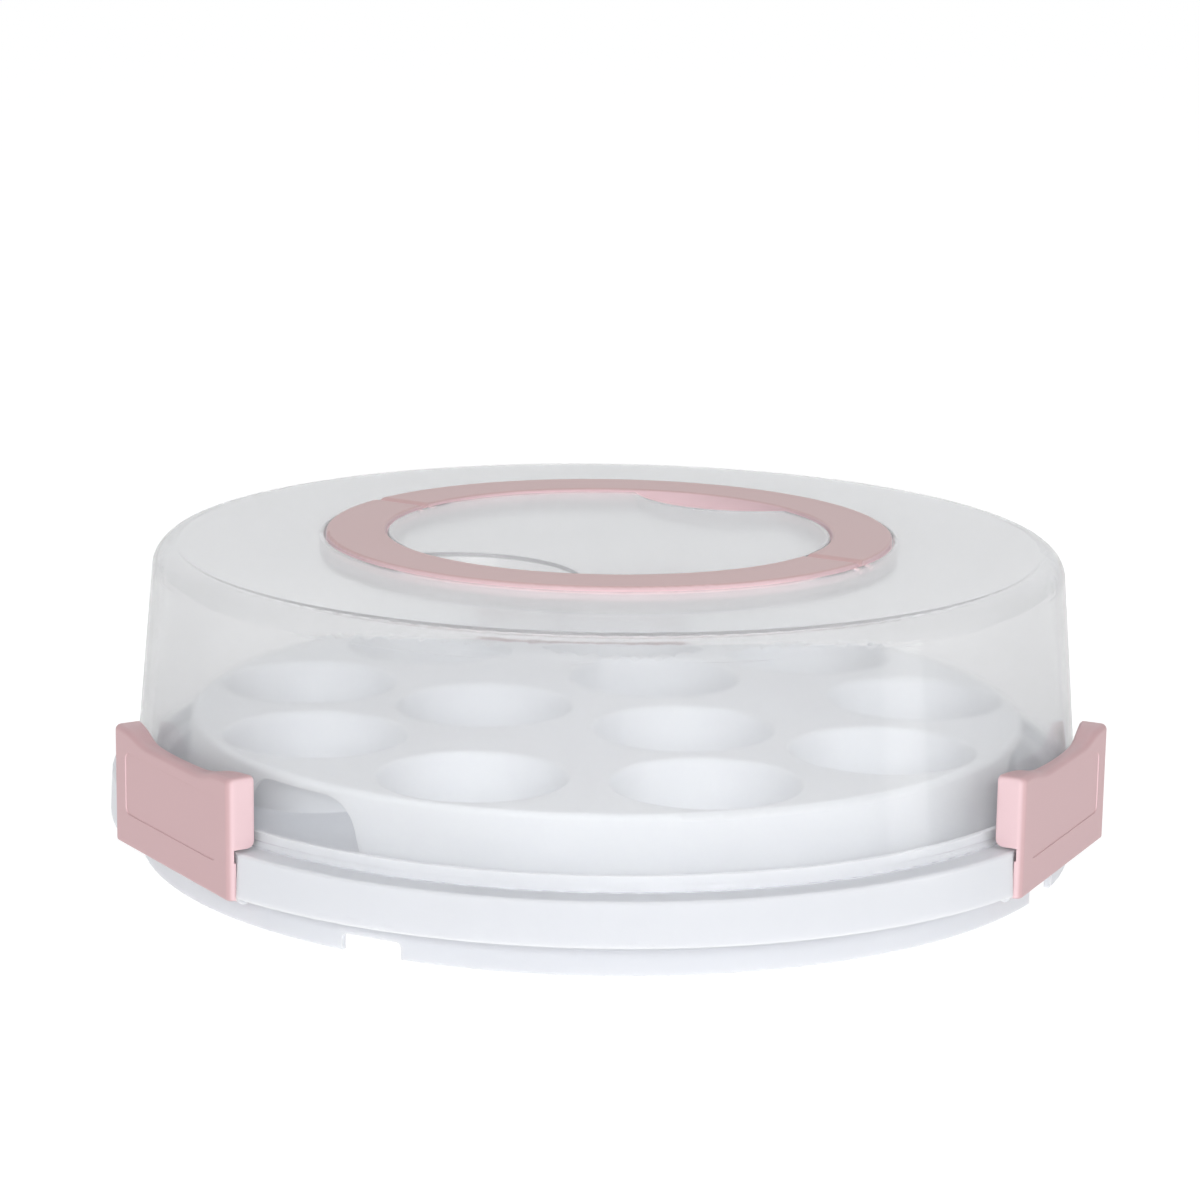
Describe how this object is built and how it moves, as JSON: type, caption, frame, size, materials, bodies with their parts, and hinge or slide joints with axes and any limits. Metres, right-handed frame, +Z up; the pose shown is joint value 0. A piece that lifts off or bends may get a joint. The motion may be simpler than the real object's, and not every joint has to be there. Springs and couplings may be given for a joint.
{
  "type": "cake carrier",
  "caption": "Round cake and cupcake carrier with a translucent lift-off lid, hinged pink latches, a folding ring handle and a removable insert with wells on a white tray.",
  "frame": {"origin": "on the floor at the centre of the foot ring", "axes": "+Z up through the lid's centre; +Y towards the first latch, at the back; +X to the right"},
  "size_m": [0.356, 0.353, 0.112],
  "materials": {
    "tray_white": "satin moulded",
    "insert_white": "satin moulded",
    "lid_frosted": "translucent, lightly frosted",
    "pink_plastic": "satin moulded"
  },
  "bodies": {
    "tray": {"base_tray": "tray_white"},
    "insert": {"cupcake_insert": "insert_white"},
    "lid": {"lid_cover": "lid_frosted"},
    "front_handle": {"handle_front": "pink_plastic"},
    "back_handle": {"handle_back": "pink_plastic"},
    "latch_1": {"latch_1": "pink_plastic"},
    "latch_2": {"latch_2": "pink_plastic"},
    "latch_3": {"latch_3": "pink_plastic"}
  },
  "joints": [
    {"name": "lid_lift", "type": "slide", "parent": "tray", "child": "lid", "axis": [0, 0, 1], "range_m": [0, 0.12]},
    {"name": "insert_lift", "type": "slide", "parent": "tray", "child": "insert", "axis": [0, 0, 1], "range_m": [0, 0.045]},
    {"name": "latch_1_hinge", "type": "hinge", "parent": "tray", "child": "latch_1", "pos_m": [0, 0.1689, 0.0126], "axis": [-1, 0, 0], "range_deg": [0, 90]},
    {"name": "latch_2_hinge", "type": "hinge", "parent": "tray", "child": "latch_2", "pos_m": [-0.14627, -0.08445, 0.0126], "axis": [0.5, -0.866, 0], "range_deg": [0, 90]},
    {"name": "latch_3_hinge", "type": "hinge", "parent": "tray", "child": "latch_3", "pos_m": [0.14627, -0.08445, 0.0126], "axis": [0.5, 0.866, 0], "range_deg": [0, 90]},
    {"name": "front_handle_hinge", "type": "hinge", "parent": "lid", "child": "front_handle", "pos_m": [-0.00215, -0.00307, 0.1084], "axis": [-0.8192, 0.5736, 0], "range_deg": [0, 90]},
    {"name": "back_handle_hinge", "type": "hinge", "parent": "lid", "child": "back_handle", "pos_m": [0.00215, 0.00307, 0.1084], "axis": [0.8192, -0.5736, 0], "range_deg": [0, 90]}
  ]
}
